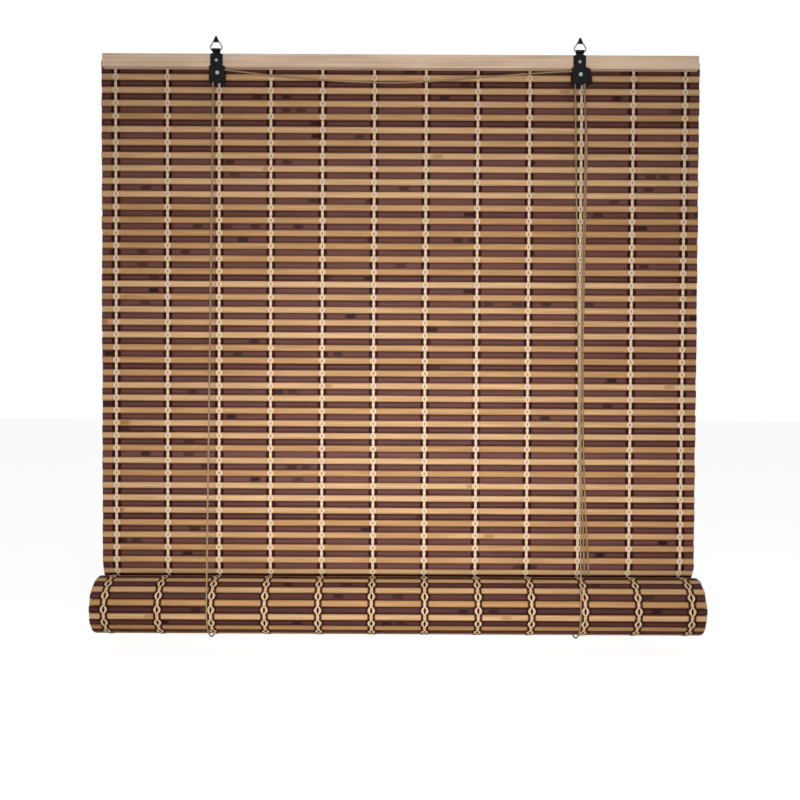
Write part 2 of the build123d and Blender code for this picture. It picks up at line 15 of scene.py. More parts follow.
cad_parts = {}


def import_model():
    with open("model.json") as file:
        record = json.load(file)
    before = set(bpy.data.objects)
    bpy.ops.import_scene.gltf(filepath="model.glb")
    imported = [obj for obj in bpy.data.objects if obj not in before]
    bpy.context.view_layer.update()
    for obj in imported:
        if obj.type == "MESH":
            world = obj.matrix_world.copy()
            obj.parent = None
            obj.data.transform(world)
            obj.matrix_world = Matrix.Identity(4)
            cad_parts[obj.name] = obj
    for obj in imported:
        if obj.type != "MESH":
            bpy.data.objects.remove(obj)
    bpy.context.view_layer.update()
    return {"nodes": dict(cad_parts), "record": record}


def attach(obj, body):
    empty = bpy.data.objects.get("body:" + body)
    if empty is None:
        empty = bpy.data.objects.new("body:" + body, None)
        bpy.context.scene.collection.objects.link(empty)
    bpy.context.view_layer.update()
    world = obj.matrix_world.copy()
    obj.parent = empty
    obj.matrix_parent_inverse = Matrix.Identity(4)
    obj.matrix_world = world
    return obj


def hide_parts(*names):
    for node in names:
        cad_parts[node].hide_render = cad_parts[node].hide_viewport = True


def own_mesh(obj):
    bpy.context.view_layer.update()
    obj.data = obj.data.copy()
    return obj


LOG = logging.getLogger("blind")
Point = tuple[float, float, float]
Colour = tuple[float, float, float]
Span = tuple[float, float]
Piece = bpy.types.Object
Patterns = tuple[Piece, Piece]
Socket = bpy.types.NodeSocket

# The least share of an edge's length that makes it run along X
LENGTHWISE = 0.9
# Noise per metre: across the fibres, in wood's slow changes of tone, and in the specks of metal
FIBRES_ACROSS = 900.0
CLOUDS = (9.0, 60.0, 60.0)
SPECKS = 260.0
# Where the noise turns into scuffs and into specks
SCUFFED = (0.35, 0.7)
SPECKLED = (0.45, 0.75)


class Tone(Enum):
    """The two stains that the slats have by turns, by what is left when a slat's number is halved."""

    LIGHT = 0
    DARK = 1


class Stretch(Enum):
    """The mat's three stretches, from the top down."""

    STRAIGHT = "hanging"
    BENT = "bent"
    ROLLED = "rolled"


BODIES = {Stretch.STRAIGHT: "rail", Stretch.BENT: "cord_loops", Stretch.ROLLED: "roll"}


class Face(Enum):
    """The side of the mat that a thread lies on, with the sign of its direction."""

    FRONT = -1
    BACK = 1


# Shaping by hand


def deselect() -> None:
    """Leaves nothing selected, so that an operator acts on its own piece alone."""
    bpy.ops.object.select_all(action="DESELECT")


def make_active(piece: Piece) -> None:
    """Selects one piece and makes it the one that operators act on.

    Args:
        piece: The piece to select.
    """
    deselect()
    piece.select_set(True)
    bpy.context.view_layer.objects.active = piece


def settle(piece: Piece) -> None:
    """Puts a piece's place, turn and size into its mesh."""
    make_active(piece)
    bpy.ops.object.transform_apply(location=True, rotation=True, scale=True)


def edit_edges(
    piece: Piece, wanted: Callable[[bmesh.types.BMEdge], bool], operator: Callable, **settings: object
) -> None:
    """Runs an operator on a piece with only the wanted edges selected.

    Args:
        piece: The piece to edit.
        wanted: Says whether an edge is selected.
        operator: What is done to the selected edges.
        settings: The operator's own settings.
    """
    make_active(piece)
    bpy.ops.object.mode_set(mode="EDIT")
    bpy.ops.mesh.select_mode(type="EDGE")
    bpy.ops.mesh.select_all(action="DESELECT")
    shape = bmesh.from_edit_mesh(piece.data)
    for edge in shape.edges:
        edge.select_set(wanted(edge))
    bmesh.update_edit_mesh(piece.data)
    operator(**settings)
    bpy.ops.object.mode_set(mode="OBJECT")


def runs_lengthwise(edge: bmesh.types.BMEdge) -> bool:
    """Whether an edge lies along X."""
    run = edge.verts[1].co - edge.verts[0].co
    return abs(run.x) > LENGTHWISE * run.length


def linked(name: str, data: bpy.types.ID) -> Piece:
    """A new object in the scene, with the data given.

    Args:
        name: The object's name.
        data: Its mesh, curve, light or camera.

    Returns:
        The object.
    """
    piece = bpy.data.objects.new(name, data)
    bpy.context.scene.collection.objects.link(piece)
    return piece


def placed_copy(pattern: Piece, name: str, place: Matrix) -> Piece:
    """A copy of a pattern, untransformed, with its place in a mesh of its own.

    Args:
        pattern: The piece to copy.
        name: The copy's name.
        place: Where the copy goes.

    Returns:
        The copy.
    """
    mesh = pattern.data.copy()
    mesh.transform(place)
    return linked(name, mesh)


def joined(parts: list[Piece], name: str) -> Piece:
    """One piece made of several, with the name given.

    Args:
        parts: The pieces to join.
        name: The joined piece's name.

    Returns:
        The joined piece.
    """
    deselect()
    for part in parts:
        part.select_set(True)
    bpy.context.view_layer.objects.active = parts[0]
    bpy.ops.object.join()
    piece = parts[0]
    piece.name = piece.data.name = name
    return piece


def set_attribute(piece: Piece, name: str, values: list[float]) -> None:
    """Stores one number for each of a piece's points, for its material to read."""
    layer = piece.data.attributes.new(name, "FLOAT", "POINT")
    layer.data.foreach_set("value", values)


def discard(piece: Piece) -> None:
    """Removes a pattern once its copies are made."""
    bpy.data.objects.remove(piece, do_unlink=True)


# Finishes


class Nodes:
    """A material or node group under construction."""

    def __init__(self, tree: bpy.types.NodeTree) -> None:
        """Starts on an empty tree."""
        self.tree = tree
        tree.nodes.clear()

    def add(self, kind: str, settings: dict | None = None, **inputs: object) -> bpy.types.Node:
        """Adds a node.

        Args:
            kind: The node's type.
            settings: Properties of the node itself.
            inputs: Values or sockets for its inputs; an underscore and number picks an input by place.

        Returns:
            The node.
        """
        node = self.tree.nodes.new(kind)
        for key, value in (settings or {}).items():
            setattr(node, key, value)
        for key, value in inputs.items():
            socket = node.inputs[int(key[1:])] if key[0] == "_" else node.inputs[key.replace("_", " ")]
            if isinstance(value, Socket):
                self.tree.links.new(value, socket)
            else:
                socket.default_value = value
        return node

    def math(self, operation: str, *values: object) -> Socket:
        """The result of a sum on values or sockets."""
        inputs = {f"_{i}": value for i, value in enumerate(values)}
        return self.add("ShaderNodeMath", {"operation": operation}, **inputs).outputs[0]

    def ramp(self, value: object, span: Span, to: Span = (0.0, 1.0)) -> Socket:
        """A smooth step over a span of a value, from the first to the second number given.

        Args:
            value: What the step follows.
            span: Where the step starts and ends.
            to: The numbers before and after it.

        Returns:
            The number.
        """
        ends = {"_1": span[0], "_2": span[1], "_3": to[0], "_4": to[1]}
        kind = {"interpolation_type": "SMOOTHSTEP"}
        return self.add("ShaderNodeMapRange", kind, _0=value, **ends).outputs[0]

    def mix(self, share: object, first: object, second: object, how: str = "MIX") -> Socket:
        """A mix of two colours."""
        kind = {"data_type": "RGBA", "blend_type": how}
        return self.add("ShaderNodeMix", kind, _0=share, _6=first, _7=second).outputs[2]

    def toned(self, colour: object, by: object) -> Socket:
        """A colour made darker or lighter by a number."""
        grey = self.add("ShaderNodeCombineXYZ", _0=by, _1=by, _2=by).outputs[0]
        return self.mix(1.0, colour, grey, "MULTIPLY")

    def attribute(self, name: str) -> Socket:
        """A number that a piece stores for each of its points."""
        return self.add("ShaderNodeAttribute", {"attribute_name": name}).outputs["Fac"]

    def place(self) -> Socket:
        """The place on the piece, in metres."""
        return self.add("ShaderNodeTexCoord").outputs["Object"]

    def stretched(self, place: object, scale: object, shift: object) -> Socket:
        """A place scaled along each axis, then moved."""
        wide = self.add("ShaderNodeVectorMath", {"operation": "MULTIPLY"}, _0=place, _1=scale).outputs[0]
        return self.add("ShaderNodeVectorMath", {"operation": "ADD"}, _0=wide, _1=shift).outputs[0]

    def noise(self, place: object, scale: object, detail: float) -> Socket:
        """Noise at a place, from 0 to 1."""
        return self.add("ShaderNodeTexNoise", Vector=place, Scale=scale, Detail=detail).outputs[0]


def opaque(colour: Colour) -> tuple[float, float, float, float]:
    """A colour with full cover."""
    return (*colour, 1.0)


def group_nodes(name: str, inputs: dict[str, float], outputs: list[str]) -> tuple[Nodes, bpy.types.Node]:
    """Starts a node group with number sockets.

    Args:
        name: The group's name.
        inputs: Its inputs and their usual values.
        outputs: Its outputs.

    Returns:
        The group's nodes and its input node.
    """
    tree = bpy.data.node_groups.new(name, "ShaderNodeTree")
    sockets = tree.interface
    for label, value in inputs.items():
        sockets.new_socket(label, in_out="INPUT", socket_type="NodeSocketFloat").default_value = value
    for label in outputs:
        sockets.new_socket(label, in_out="OUTPUT", socket_type="NodeSocketFloat")
    nodes = Nodes(tree)
    return nodes, nodes.add("NodeGroupInput")


def fibre_group() -> bpy.types.NodeTree:
    """Long fibres along X with slow changes of tone, for every piece of wood or bamboo.

    Returns:
        The node group.
    """
    nodes, given = group_nodes("long_fibres", {"Shift": 0.0, "Length": 6.0}, ["Fibre", "Cloud"])
    place, across = nodes.place(), FIBRES_ACROSS
    spread = nodes.add("ShaderNodeCombineXYZ", _0=given.outputs["Length"], _1=across, _2=across).outputs[0]
    shift = nodes.add("ShaderNodeCombineXYZ", _0=given.outputs["Shift"], _1=0.0, _2=0.0).outputs[0]
    fibre = nodes.noise(nodes.stretched(place, spread, shift), scale=1.0, detail=4.0)
    cloud = nodes.noise(nodes.stretched(place, CLOUDS, shift), scale=1.0, detail=2.0)
    nodes.add("NodeGroupOutput", Fibre=fibre, Cloud=cloud)
    return nodes.tree


def wear_group() -> bpy.types.NodeTree:
    """Fine scuffs and specks, for painted and bare metal.

    Returns:
        The node group.
    """
    nodes, given = group_nodes("scuffs", {"Fineness": 900.0}, ["Scuff", "Speck"])
    scuff = nodes.noise(nodes.place(), given.outputs["Fineness"], detail=5.0)
    speck = nodes.noise(nodes.place(), SPECKS, detail=2.0)
    nodes.add("NodeGroupOutput", Scuff=nodes.ramp(scuff, SCUFFED), Speck=nodes.ramp(speck, SPECKLED))
    return nodes.tree


@dataclass(frozen=True)
class Finish:
    """A finish, with the numbers that the shader takes as they are. A span is where a smooth step goes."""

    name: str
    colour: Colour
    second: Colour
    roughness: float
    relief: float
    relief_strength: float = 0.6
    metallic: float = 0.0
    specular: float = 0.5
    dulling: Span = (0.2, 0.8)

    def start(self) -> tuple[bpy.types.Material, Nodes]:
        """An empty material with this finish's name, and its nodes.

        Returns:
            The material and its nodes.
        """
        material = bpy.data.materials.new(self.name)
        material.use_nodes = True
        return material, Nodes(material.node_tree)

    def between(self, nodes: Nodes, share: object) -> Socket:
        """A mix of the finish's two colours."""
        return nodes.mix(share, opaque(self.colour), opaque(self.second))

    def close(self, nodes: Nodes, colour: object, height: object, roughness: object) -> None:
        """Ends the material in its shader.

        Args:
            nodes: The material's nodes.
            colour: The surface's colour.
            height: What the relief is made from.
            roughness: The surface's roughness.
        """
        bump = nodes.add(
            "ShaderNodeBump", Strength=self.relief_strength, Distance=self.relief, Height=height
        ).outputs[0]
        shader = nodes.add(
            "ShaderNodeBsdfPrincipled", Base_Color=colour, Roughness=roughness, Normal=bump,
            Metallic=self.metallic, Specular_IOR_Level=self.specular,
        )
        nodes.add("ShaderNodeOutputMaterial", Surface=shader.outputs[0])


@dataclass(frozen=True)
class Bamboo(Finish):
    """A slat's finish: fibres, a tone of its own, joints of the cane, shade beside the warps, painted shade
    towards its long edges and a painted highlight along its middle line.

    What goes across a slat is 0 on its middle line and 1 at its edges. Reaches are in metres.
    """

    fibre_shift: float = 613.0
    fibre_length: float = 14.0
    tone_share: float = 0.55
    tones: Span = (0.15, 0.85)
    streaks: Span = (0.3, 0.7)
    streak_tones: Span = (0.78, 1.12)
    # Painted highlight: the middle line of a slat is mixed towards the lighter colour, as light on its
    # crowned face
    centre: Span = (0.0, 0.55)
    centre_highlight: float = 0.0
    # Painted shade: a slat is darker towards its long edges, where its rounded face turns from the light
    edge: Span = (0.45, 1.0)
    edge_shade: float = 0.55
    joint: Colour = (0.30, 0.12, 0.04)
    joint_share: float = 0.008
    joint_cells: float = 52.0
    joint_ends: Span = (0.02, 0.30)
    joint_sides: Span = (0.35, 0.95)
    joint_fibres: Span = (0.3, 0.6)
    joint_grain: Span = (0.55, 1.0)
    joint_depths: Span = (0.6, 1.0)
    shade: Colour = (0.026, 0.002, 0.002)
    warp_shade: float = 0.0
    warp_spacing: float = 0.06924
    shade_reach: float = 0.0070
    shade_fade: float = 0.0016
    duller: float = 0.1

    def make(self, fibres: bpy.types.NodeTree) -> bpy.types.Material:
        """The material, from the shared fibres.

        Args:
            fibres: The node group of long fibres.

        Returns:
            The material.
        """
        material, nodes = self.start()
        tone = nodes.attribute("tone")
        across = nodes.math("ABSOLUTE", nodes.attribute("across"))
        along = nodes.add("ShaderNodeSeparateXYZ", _0=nodes.place()).outputs[0]
        shift = nodes.math("MULTIPLY", tone, self.fibre_shift)
        grain = nodes.add("ShaderNodeGroup", {"node_tree": fibres}, Shift=shift, Length=self.fibre_length)
        fibre, cloud = grain.outputs["Fibre"], grain.outputs["Cloud"]
        own = nodes.math("MULTIPLY", tone, self.tone_share)
        share = nodes.math("ADD", own, nodes.math("MULTIPLY", cloud, 1 - self.tone_share))
        colour = self.between(nodes, nodes.ramp(share, self.tones))
        colour = nodes.toned(colour, nodes.ramp(fibre, self.streaks, self.streak_tones))
        # Painted highlight along the slat's middle line
        middle = nodes.ramp(across, self.centre, (self.centre_highlight, 0.0))
        colour = nodes.mix(middle, colour, opaque(self.second))
        # Painted shade towards the slat's long edges
        colour = nodes.toned(colour, nodes.ramp(across, self.edge, (1.0, self.edge_shade)))
        sides = nodes.ramp(across, self.joint_sides, (1.0, 0.0))
        grained = nodes.math("MULTIPLY", sides, nodes.ramp(fibre, self.joint_fibres, self.joint_grain))
        mark = nodes.math("MULTIPLY", grained, self.joints(nodes, along, shift))
        colour = nodes.mix(mark, colour, opaque(self.joint))
        colour = nodes.mix(self.beside_warps(nodes, along), colour, opaque(self.shade))
        dull = nodes.ramp(fibre, self.dulling, (self.roughness + self.duller, self.roughness))
        self.close(nodes, colour, fibre, dull)
        return material

    def joints(self, nodes: Nodes, along: object, shift: object) -> Socket:
        """How deep a joint of the cane is, along a slat that is cut into cells. A few cells hold one.

        Args:
            nodes: The material's nodes.
            along: The place along the slat.
            shift: What moves the cells along a slat, so that no two slats are alike.

        Returns:
            The depth, from 0 to 1.
        """
        step = nodes.math("ADD", nodes.math("MULTIPLY", along, self.joint_cells), shift)
        whole = nodes.math("FLOOR", step)
        cell = nodes.add("ShaderNodeTexWhiteNoise", {"noise_dimensions": "1D"}, W=whole).outputs[0]
        least = 1 - self.joint_share
        held = nodes.math("GREATER_THAN", cell, least)
        depth = nodes.math("MULTIPLY", held, nodes.ramp(cell, (least, 1.0), self.joint_depths))
        return nodes.math("MULTIPLY", depth, nodes.ramp(nodes.math("PINGPONG", step, 0.5), self.joint_ends))

    def beside_warps(self, nodes: Nodes, along: object) -> Socket:
        """How dark the shade beside the nearest warp is, at a place along the slat.

        Args:
            nodes: The material's nodes.
            along: The place along the slat.

        Returns:
            The share of shade.
        """
        spacings = nodes.math("ADD", nodes.math("DIVIDE", along, self.warp_spacing), 0.5)
        reach = nodes.math("MULTIPLY", nodes.math("PINGPONG", spacings, 0.5), self.warp_spacing)
        fade = (self.shade_reach - self.shade_fade, self.shade_reach)
        return nodes.ramp(reach, fade, (self.warp_shade, 0.0))


@dataclass(frozen=True)
class Timber(Finish):
    """Planed softwood with its grain along X."""

    fibre_shift: float = 3.0
    fibre_length: float = 5.0
    tones: Span = (0.35, 0.62)
    dulling: Span = (0.3, 0.7)
    dullest: float = 0.75

    def make(self, fibres: bpy.types.NodeTree) -> bpy.types.Material:
        """The material, from the shared fibres.

        Args:
            fibres: The node group of long fibres.

        Returns:
            The material.
        """
        material, nodes = self.start()
        grain = nodes.add(
            "ShaderNodeGroup", {"node_tree": fibres}, Shift=self.fibre_shift, Length=self.fibre_length
        )
        share = nodes.math("MULTIPLY", nodes.math("ADD", grain.outputs["Fibre"], grain.outputs["Cloud"]), 0.5)
        colour = self.between(nodes, nodes.ramp(share, self.tones))
        dull = nodes.ramp(share, self.dulling, (self.dullest, self.roughness))
        self.close(nodes, colour, grain.outputs["Fibre"], dull)
        return material


@dataclass(frozen=True)
class Metal(Finish):
    """Painted, bare or moulded hardware with fine scuffs."""

    fineness: float = 1400.0
    duller: float = 0.15

    def make(self, scuffs: bpy.types.NodeTree) -> bpy.types.Material:
        """The material, from the shared scuffs.

        Args:
            scuffs: The node group of scuffs and specks.

        Returns:
            The material.
        """
        material, nodes = self.start()
        worn = nodes.add("ShaderNodeGroup", {"node_tree": scuffs}, Fineness=self.fineness)
        scuff = worn.outputs["Scuff"]
        dull = nodes.ramp(scuff, (0.0, 1.0), (self.roughness, self.roughness + self.duller))
        self.close(nodes, self.between(nodes, worn.outputs["Speck"]), scuff, dull)
        return material


@dataclass(frozen=True)
class Stitching(Finish):
    """Cotton thread: fine plies that wind round the strand, and fuzz, with painted shade in the grooves
    between the plies.
    """

    slant: float = math.radians(32)
    plies: float = 420.0
    unevenness: float = 1.2
    fuzz: float = 2600.0
    fuzz_share: float = 0.5
    tones: Span = (0.25, 1.0)
    dullest: float = 0.95

    def make(self) -> bpy.types.Material:
        """The finish's nodes, put together.

        Returns:
            The material.
        """
        material, nodes = self.start()
        place = nodes.place()
        slanted = nodes.add("ShaderNodeMapping", Vector=place, Rotation=(0.0, self.slant, 0.0)).outputs[0]
        plies = nodes.add(
            "ShaderNodeTexWave", {"bands_direction": "Z"}, Vector=slanted, Scale=self.plies,
            Distortion=self.unevenness,
        )
        fuzz = nodes.noise(place, self.fuzz, detail=2.0)
        height = nodes.math("ADD", plies.outputs[1], nodes.math("MULTIPLY", fuzz, self.fuzz_share))
        # Partly painted shade: the colour follows the relief, darker in the grooves between the plies, and
        # its tone also varies with the fuzz
        colour = self.between(nodes, nodes.ramp(height, self.tones))
        self.close(nodes, colour, height, nodes.ramp(fuzz, self.dulling, (self.roughness, self.dullest)))
        return material


@dataclass(frozen=True)
class Braid(Finish):
    """Braided cord: strands that cross both ways round it, read from the cord's own UV map, with painted
    shade in the grooves between them.
    """

    pitch: float = 0.0022
    strands: float = 4.0
    crests: Span = (-0.2, 1.0)
    dullest: float = 0.95

    def make(self) -> bpy.types.Material:
        """The finish's nodes, put together.

        Returns:
            The material.
        """
        material, nodes = self.start()
        flat = nodes.add("ShaderNodeUVMap", {"uv_map": "UVMap"}).outputs[0]
        split = nodes.add("ShaderNodeSeparateXYZ", _0=flat)
        along = nodes.math("MULTIPLY", split.outputs[0], 2 * math.pi / self.pitch)
        around = nodes.math("MULTIPLY", split.outputs[1], 2 * math.pi * self.strands)
        one = nodes.math("SINE", nodes.math("ADD", along, around))
        two = nodes.math("SINE", nodes.math("SUBTRACT", along, around))
        height = nodes.ramp(nodes.math("MAXIMUM", one, two), self.crests)
        dull = nodes.ramp(height, (0.0, 1.0), (self.dullest, self.roughness))
        # Painted shade: the cord is darker in the grooves between its strands and lighter on their crests
        self.close(nodes, self.between(nodes, height), height, dull)
        return material


@dataclass
class Finishes:
    """Every finish of the blind, by the record's slot names."""

    made: dict[str, bpy.types.Material] = field(default_factory=dict)

    def make(self) -> None:
        """Makes all the materials."""
        fibres, scuffs = fibre_group(), wear_group()
        self.made = {wood.name: wood.make(fibres) for wood in self.woods()}
        self.made |= {metal.name: metal.make(scuffs) for metal in self.metals()}
        self.made |= {fibre.name: fibre.make() for fibre in self.threads()}

    def woods(self) -> list[Finish]:
        """Bamboo in both stains, hanging and rolled, and the rails' softwood.

        Returns:
            The finishes.
        """
        light = Bamboo(
            name="light_bamboo", colour=(0.45, 0.235, 0.098), second=(0.64, 0.390, 0.205),
            roughness=0.48, relief=0.00012, specular=0.06,
        )
        dark = replace(
            light, name="dark_bamboo", colour=(0.060, 0.019, 0.015), second=(0.142, 0.058, 0.047),
            joint=(0.010, 0.003, 0.003), joint_share=0.06, warp_shade=0.97, centre_highlight=0.6,
        )
        light_rolled = replace(light, name="light_bamboo_rolled", warp_shade=0.93, shade_reach=0.0060)
        dark_rolled = replace(
            dark, name="dark_bamboo_rolled", colour=(0.042, 0.012, 0.010), second=(0.096, 0.036, 0.029),
            warp_shade=0.93, shade_reach=0.0082,
        )
        pale = Timber(
            name="pale_wood", colour=(0.60, 0.42, 0.295), second=(0.80, 0.595, 0.44),
            roughness=0.65, relief=0.0001, specular=0.1,
        )
        return [light, dark, light_rolled, dark_rolled, pale]

    def metals(self) -> list[Finish]:
        """Black paint and plastic, and bare steel and wire.

        Returns:
            The finishes.
        """
        paint = Metal(
            name="black_steel", colour=(0.005, 0.005, 0.006), second=(0.011, 0.011, 0.012),
            roughness=0.40, relief=0.00002, specular=0.12,
        )
        plastic = replace(
            paint, name="black_plastic", colour=(0.006, 0.006, 0.006), second=(0.012, 0.012, 0.012),
            roughness=0.50,
        )
        steel = Metal(
            name="bright_steel", colour=(0.34, 0.34, 0.345), second=(0.47, 0.47, 0.475),
            roughness=0.42, relief=0.00001, metallic=1.0,
        )
        wire = replace(
            steel, name="dark_wire", colour=(0.16, 0.16, 0.165), second=(0.24, 0.24, 0.25), roughness=0.34
        )
        return [paint, plastic, steel, wire]

    def threads(self) -> list[Finish]:
        """The warps' thread, hanging and rolled, and the cords.

        Returns:
            The finishes.
        """
        thread = Stitching(
            name="thread", colour=(0.54, 0.37, 0.235), second=(0.82, 0.65, 0.465),
            roughness=0.85, relief=0.0002, specular=0.1,
        )
        rolled = replace(thread, name="thread_rolled", colour=(0.42, 0.28, 0.155), second=(0.80, 0.59, 0.36))
        cord = Braid(
            name="cord", colour=(0.17, 0.105, 0.05), second=(0.46, 0.32, 0.17),
            roughness=0.8, relief=0.00025, specular=0.2,
        )
        return [thread, rolled, cord]

    def dress(self, piece: Piece, slot: str, look: str = "") -> None:
        """Gives a piece its material.

        Args:
            piece: The piece to dress.
            slot: Its slot in the record.
            look: The material, where it isn't the one with the slot's name.
        """
        material = self.made[look or slot]
        if not piece.material_slots:
            piece.data.materials.append(material)
        for holder in piece.material_slots:
            holder.material = material


# The mat's path


@dataclass(frozen=True)
class Place:
    """Where a slat's middle lies in the side view, and how far it leans back at its foot, in radians."""

    y: float
    z: float
    tilt: float

    def matrix(self, x: float, back: float = 0.0) -> Matrix:
        """The place at x along the blind, moved towards the mat's back.

        Args:
            x: The place along the blind.
            back: How far it is moved, square to the mat.

        Returns:
            The place and the lean, as one matrix.
        """
        y = self.y + back * math.cos(self.tilt)
        z = self.z + back * math.sin(self.tilt)
        return Matrix.Translation((x, y, z)) @ Matrix.Rotation(self.tilt, 4, "X")


@dataclass
class MatPath:
    """The line that the slats follow: down, back over the roll, and round it inwards."""

    slat_height: float = 0.0082
    slat_thickness: float = 0.0016
    thread: float = 0.0007
    mat_y: float = 0.0065
    top_drop: float = 0.00550
    top_gap: float = 0.00050
    low_gap: float = 0.00013
    drawn_gap: float = 0.00055
    even_slats: int = 81
    roll_y: float = -0.0070
    roll_z: float = -0.7311
    roll_radius: float = 0.0365
    pitch: float = 0.0033
    bend: float = 0.030
    wrap_play: float = 0.0008
    facing_turn: float = math.radians(17.6)
    facing_slats: int = 14
    core: float = 0.01118
    held_z: float = -0.0051

    def __post_init__(self) -> None:
        """Works out the bend and every slat's place."""
        self.wrap = self.roll_radius + self.pitch / 2 + self.wrap_play
        self.bend_y = self.mat_y + self.bend
        rise = math.sqrt((self.bend + self.wrap) ** 2 - (self.bend_y - self.roll_y) ** 2)
        self.bend_z = self.roll_z + rise
        self.bend_turn = math.atan2(rise, self.bend_y - self.roll_y)
        self.first_z = -self.top_drop - self.slat_height / 2
        self.hanging = self.hanging_mat()
        self.rolled = self.rolled_mat()
        self.outer = [p for p in self.rolled if p.tilt > self.rolled[0].tilt - 2 * math.pi]

    def hanging_mat(self) -> list[Place]:
        """The slats from the top down to where the mat passes behind the roll's middle.

        Returns:
            Their places, from the top.
        """
        places, distance = [], 0.0
        while not places or places[-1].tilt >= 0:
            places.append(self.hanging_place(distance))
            distance += self.slat_height + self.gap(len(places) - 1)
        return places[:-1]

    def rolled_mat(self) -> list[Place]:
        """The slats from the roll's back, under it and inwards to the bottom rail.

        Returns:
            Their places, from the outside.
        """
        step, turn, places = self.slat_height + self.drawn_gap, self.facing_turn, []
        for _ in range(self.facing_slats):
            turn -= step / self.spiral(turn)
        while self.spiral(turn) >= self.core:
            radius = self.spiral(turn)
            y, z = self.roll_y - radius * math.cos(turn), self.roll_z + radius * math.sin(turn)
            places.append(Place(y, z, -math.pi - turn))
            turn += step / radius
        return places

    def gap(self, number: int) -> float:
        """The gap under a hanging slat: narrower down the straight mat, and wider where it is drawn in."""
        share = number / (self.even_slats - 1)
        return self.top_gap + (self.low_gap - self.top_gap) * share if share < 1 else self.drawn_gap

    @property
    def bend_top(self) -> float:
        """The height of the straight stretch's foot."""
        return min(place.z for place in self.hanging if not place.tilt) - self.slat_height / 2

    def stretch(self, which: Stretch) -> list[tuple[int, Place]]:
        """The slats of one stretch, each with its number in the hanging or the rolled mat.

        Args:
            which: The stretch.

        Returns:
            The numbers and places.
        """
        if which is Stretch.ROLLED:
            return list(enumerate(self.rolled))
        bent = which is Stretch.BENT
        return [(number, place) for number, place in enumerate(self.hanging) if bool(place.tilt) is bent]

    def step(self, number: int, which: Stretch) -> float:
        """How far a slat lies from the next one, or its own height where the mat bends."""
        return self.slat_height + (self.gap(number) if which is Stretch.STRAIGHT else 0.0)

    def spiral(self, turn: float) -> float:
        """The rolled mat's middle radius at a turn from the roll's front."""
        return self.roll_radius - self.pitch * turn / (2 * math.pi)

    def hanging_place(self, distance: float) -> Place:
        """The place at a distance along the mat from the first slat's middle.

        Args:
            distance: The distance down the mat.

        Returns:
            The place: straight, on the bend or over the roll.
        """
        past = distance - (self.first_z - self.bend_z)
        if past <= 0:
            return Place(self.mat_y, self.first_z - distance, 0.0)
        if past <= self.bend * self.bend_turn:
            turn = past / self.bend
            back, down = self.bend * math.cos(turn), self.bend * math.sin(turn)
            return Place(self.bend_y - back, self.bend_z - down, turn)
        turn = self.bend_turn - (past - self.bend * self.bend_turn) / self.wrap
        back, up = self.wrap * math.cos(turn), self.wrap * math.sin(turn)
        return Place(self.roll_y + back, self.roll_z + up, turn)


@dataclass
class Lift:
    """Gives a hanging piece a mesh of its own."""

    travel: float = 0.6
    joint: str = "roll_lift"

    def shorten(self, piece: Piece, top: float, foot: float) -> None:
        """Gives a piece a mesh of its own."""
        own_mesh(piece)


# Pieces


